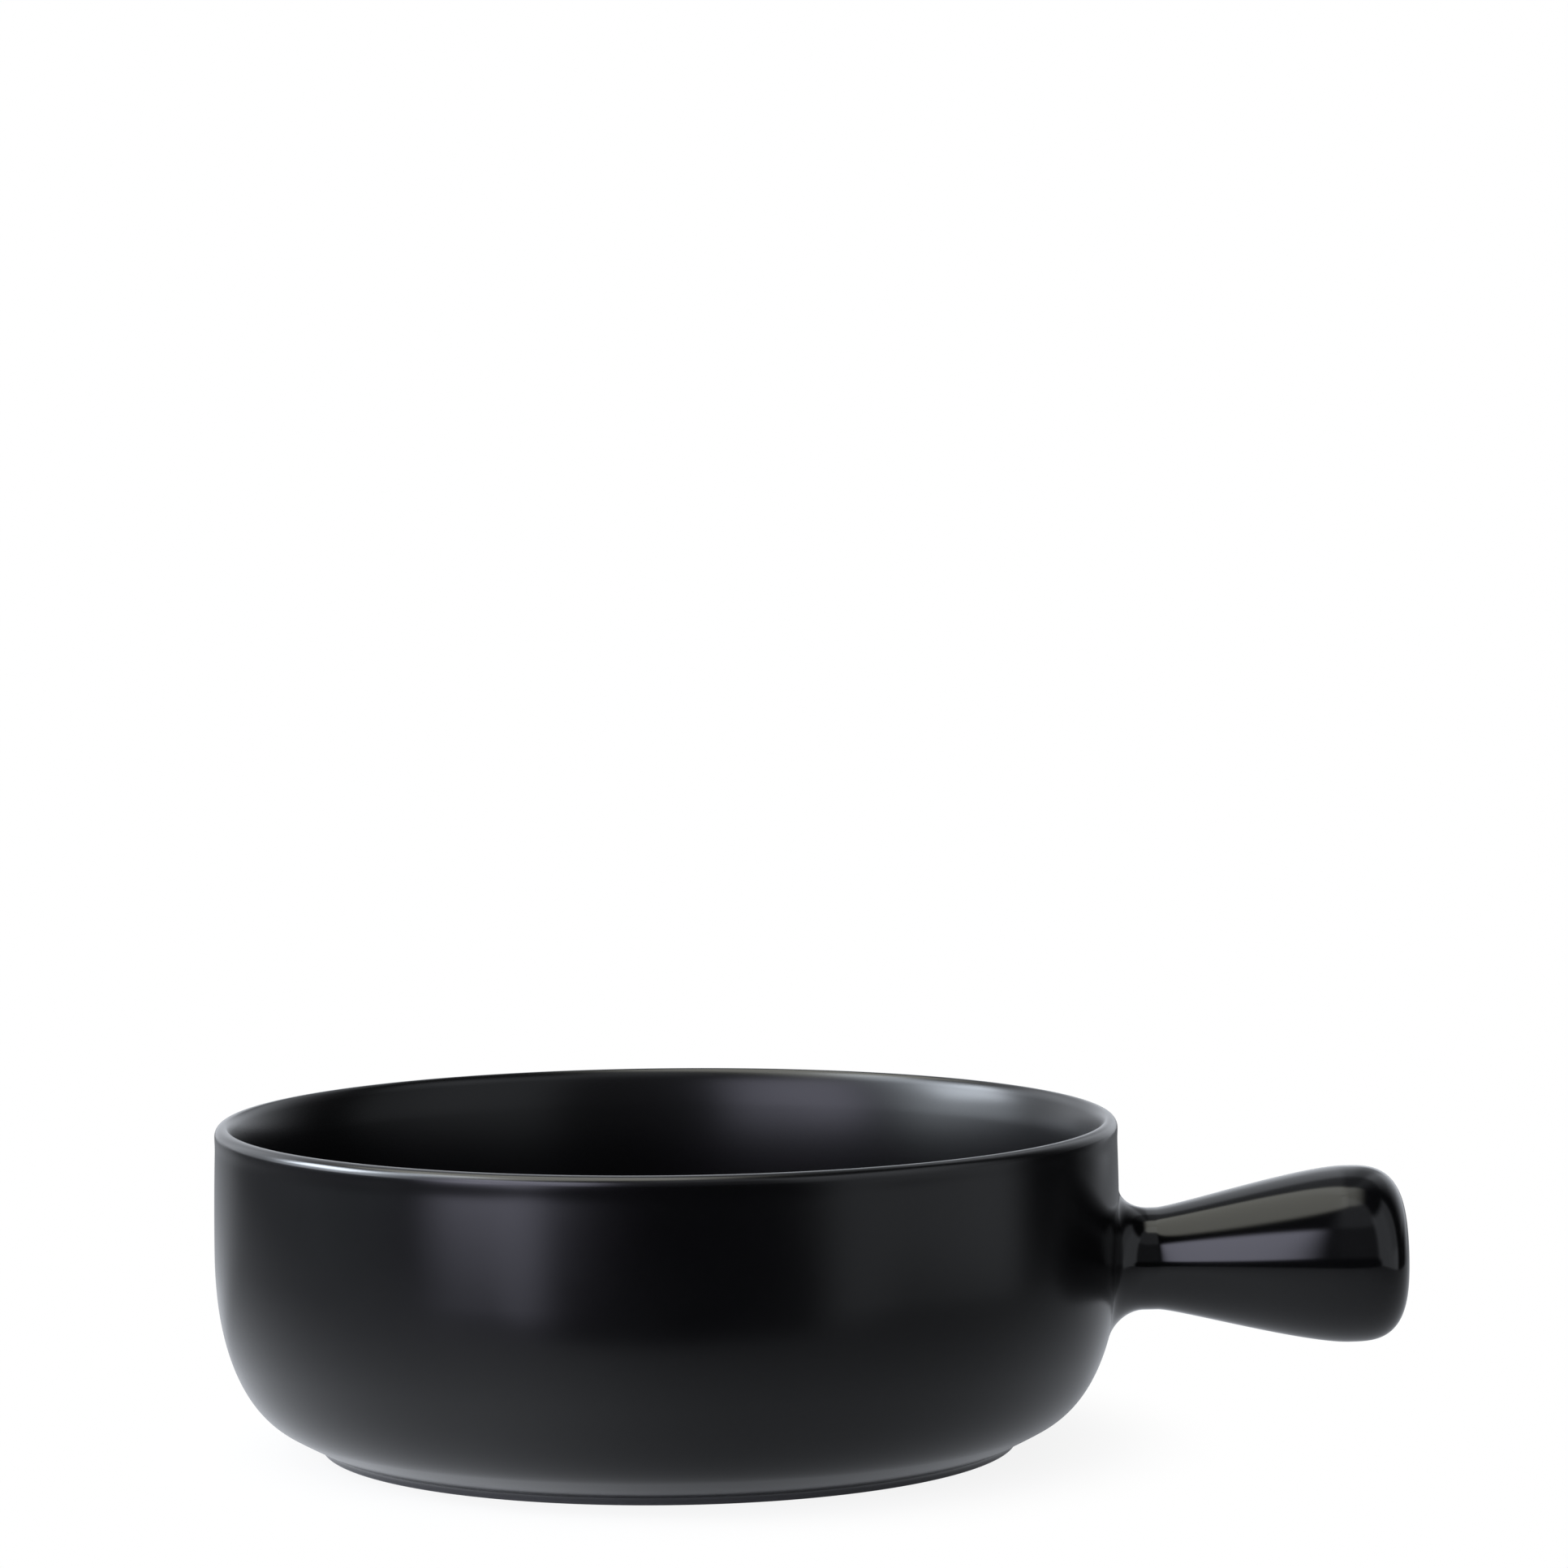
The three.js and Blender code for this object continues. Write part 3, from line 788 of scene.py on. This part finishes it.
# The table: a white one, not much bigger than the bowl. Near the foot it keeps a soft shadow, and
# elsewhere it is plain white where it is seen directly. Mirrored in the glaze it is white too,
# but dim in front and on the handle's side, where the bowl keeps the light off it. The light on it
# reaches further behind the bowl on the left, and close to the foot the bowl's own shadow is
# mirrored. It is open from below and under the foot, so that the underside has light in views
# from beneath.
table = {
    "colour": "#f0f0f0", "left": -0.4, "right": 0.26, "front": -0.18, "back": 1.2, "drop": 0.00005,
    "nearWhite": 0.88, "shadowReach": 0.02, "litReach": 0.1, "mirroredColour": (0.94, 0.98, 1.05),
    "dim": 0.52, "dimTowards": 55, "dimFrom": 0.1, "dimTo": 0.8,
    "lit": 2.1, "litTowards": -150, "litFrom": 0.86, "litTo": 0.98,
    "contact": 0.84, "contactReach": 0.013,
}


# 1 for rays that arrive by way of a mirror or through glass, and 0 for the others
def mirroredRays(tree, path):
    return addNode(tree, "ShaderNodeMath", {"operation": "MAXIMUM"}, links={
        0: path.outputs["Is Glossy Ray"], 1: path.outputs["Is Transmission Ray"]}).outputs[0]


# How white the table is in a mirror, for the direction and the distance from the bowl's axis
def mirroredWhite(tree, direction, away):
    facing, backing = (addNode(tree, "ShaderNodeVectorMath", {"operation": "DOT_PRODUCT"}, {
        1: towards(table[bearing], 0)}, {0: direction}) for bearing in ("dimTowards", "litTowards"))
    white = addNode(tree, "ShaderNodeMapRange", smooth, {
        "From Min": table["dimFrom"], "From Max": table["dimTo"],
        "To Min": 1, "To Max": table["dim"]}, {"Value": facing.outputs["Value"]})
    reach = addNode(tree, "ShaderNodeMapRange", smooth, {
        "From Min": table["litFrom"], "From Max": table["litTo"],
        "To Min": table["litReach"], "To Max": table["litReach"] * table["lit"]},
        {"Value": backing.outputs["Value"]})
    fading = addNode(tree, "ShaderNodeMath", {"operation": "DIVIDE", "use_clamp": True}, links={
        0: reach.outputs[0], 1: away})
    contact = addNode(tree, "ShaderNodeMapRange", smooth, {
        "From Min": foot["radius"] * mm, "From Max": foot["radius"] * mm + table["contactReach"],
        "To Min": table["contact"], "To Max": 1}, {"Value": away})
    for dimming in fading, contact:
        white = addNode(tree, "ShaderNodeMath", {"operation": "MULTIPLY"}, links={
            0: white.outputs[0], 1: dimming.outputs[0]})
    return white.outputs[0]


def tableMaterial():
    material, tree = newMaterial("white_table")
    place = addNode(tree, "ShaderNodeTexCoord").outputs["Object"]
    flat = addNode(tree, "ShaderNodeMapping", values={
        "Location": (-bowlX, 0, 0), "Scale": (1, 1, 0)}, links={"Vector": place}).outputs[0]
    away = addNode(tree, "ShaderNodeVectorMath", {"operation": "LENGTH"}, links={0: flat})
    away = away.outputs["Value"]
    direction = addNode(tree, "ShaderNodeVectorMath", {"operation": "NORMALIZE"}, links={0: flat})
    seenWhite = addNode(tree, "ShaderNodeMapRange", smooth, {
        "From Min": foot["radius"] * mm, "From Max": bowl["radius"] * mm + table["shadowReach"],
        "To Min": table["nearWhite"], "To Max": 1}, {"Value": away})
    path = addNode(tree, "ShaderNodeLightPath")
    mirrored = mirroredRays(tree, path)
    seen = addNode(tree, "ShaderNodeMath", {"operation": "MULTIPLY"}, links={
        0: path.outputs["Is Camera Ray"], 1: seenWhite.outputs[0]})
    plainShare = addNode(tree, "ShaderNodeMath", {"operation": "MAXIMUM"}, links={
        0: seen.outputs[0], 1: mirrored})
    strength = addNode(tree, "ShaderNodeMix", {"data_type": "FLOAT"}, {2: 1}, {
        0: mirrored, 3: mirroredWhite(tree, direction.outputs[0], away)})
    tint = addNode(tree, "ShaderNodeMix", {"data_type": "RGBA"}, {
        6: (1, 1, 1, 1), 7: (*table["mirroredColour"], 1)}, {0: mirrored})
    plain = addNode(tree, "ShaderNodeEmission", links={
        "Color": tint.outputs[2], "Strength": strength.outputs[0]})
    paint = addNode(tree, "ShaderNodeBsdfDiffuse", values={"Color": toLinear(table["colour"])})
    top = addNode(tree, "ShaderNodeMixShader", links={
        0: plainShare.outputs[0], 1: paint.outputs[0], 2: plain.outputs[0]})
    side = addNode(tree, "ShaderNodeNewGeometry")
    underFoot = addNode(tree, "ShaderNodeMath", {"operation": "LESS_THAN"}, {
        1: (foot["radius"] - foot["edge"]) * mm}, {0: away})
    unseen = addNode(tree, "ShaderNodeMath", {"operation": "MAXIMUM"}, links={
        0: side.outputs["Backfacing"], 1: underFoot.outputs[0]})
    clear = addNode(tree, "ShaderNodeBsdfTransparent")
    both = addNode(tree, "ShaderNodeMixShader", links={
        0: unseen.outputs[0], 1: top.outputs[0], 2: clear.outputs[0]})
    addNode(tree, "ShaderNodeOutputMaterial", links={"Surface": both.outputs[0]})
    return material


def makeTable():
    corners = [(table["left"], table["front"]), (table["right"], table["front"]),
               (table["right"], table["back"]), (table["left"], table["back"])]
    mesh = bpy.data.meshes.new("table")
    mesh.from_pydata([(x, y, -table["drop"]) for x, y in corners], [], [(0, 1, 2, 3)])
    mesh.materials.append(tableMaterial())
    tableObject = bpy.data.objects.new("table", mesh)
    scene.collection.objects.link(tableObject)


makeTable()

# The backdrop is the world: white where it is seen, directly or mirrored, and half as bright for
# the light that it gives
backdrop = {"colour": (1, 1, 1, 1), "seen": 1, "given": 0.5}


def makeWorld():
    world = bpy.data.worlds.new("studio")
    world.use_nodes = True
    tree = world.node_tree
    tree.nodes.clear()
    path = addNode(tree, "ShaderNodeLightPath")
    seen = addNode(tree, "ShaderNodeMath", {"operation": "MAXIMUM"}, links={
        0: path.outputs["Is Camera Ray"], 1: mirroredRays(tree, path)})
    strength = addNode(tree, "ShaderNodeMapRange", values={
        "To Min": backdrop["given"], "To Max": backdrop["seen"]}, links={"Value": seen.outputs[0]})
    sky = addNode(tree, "ShaderNodeBackground", values={"Color": backdrop["colour"]},
                  links={"Strength": strength.outputs[0]})
    addNode(tree, "ShaderNodeOutputWorld", links={"Surface": sky.outputs[0]})
    scene.world = world


makeWorld()
scene.view_settings.view_transform = "Standard"
print("camera, lights, cards and table are set")
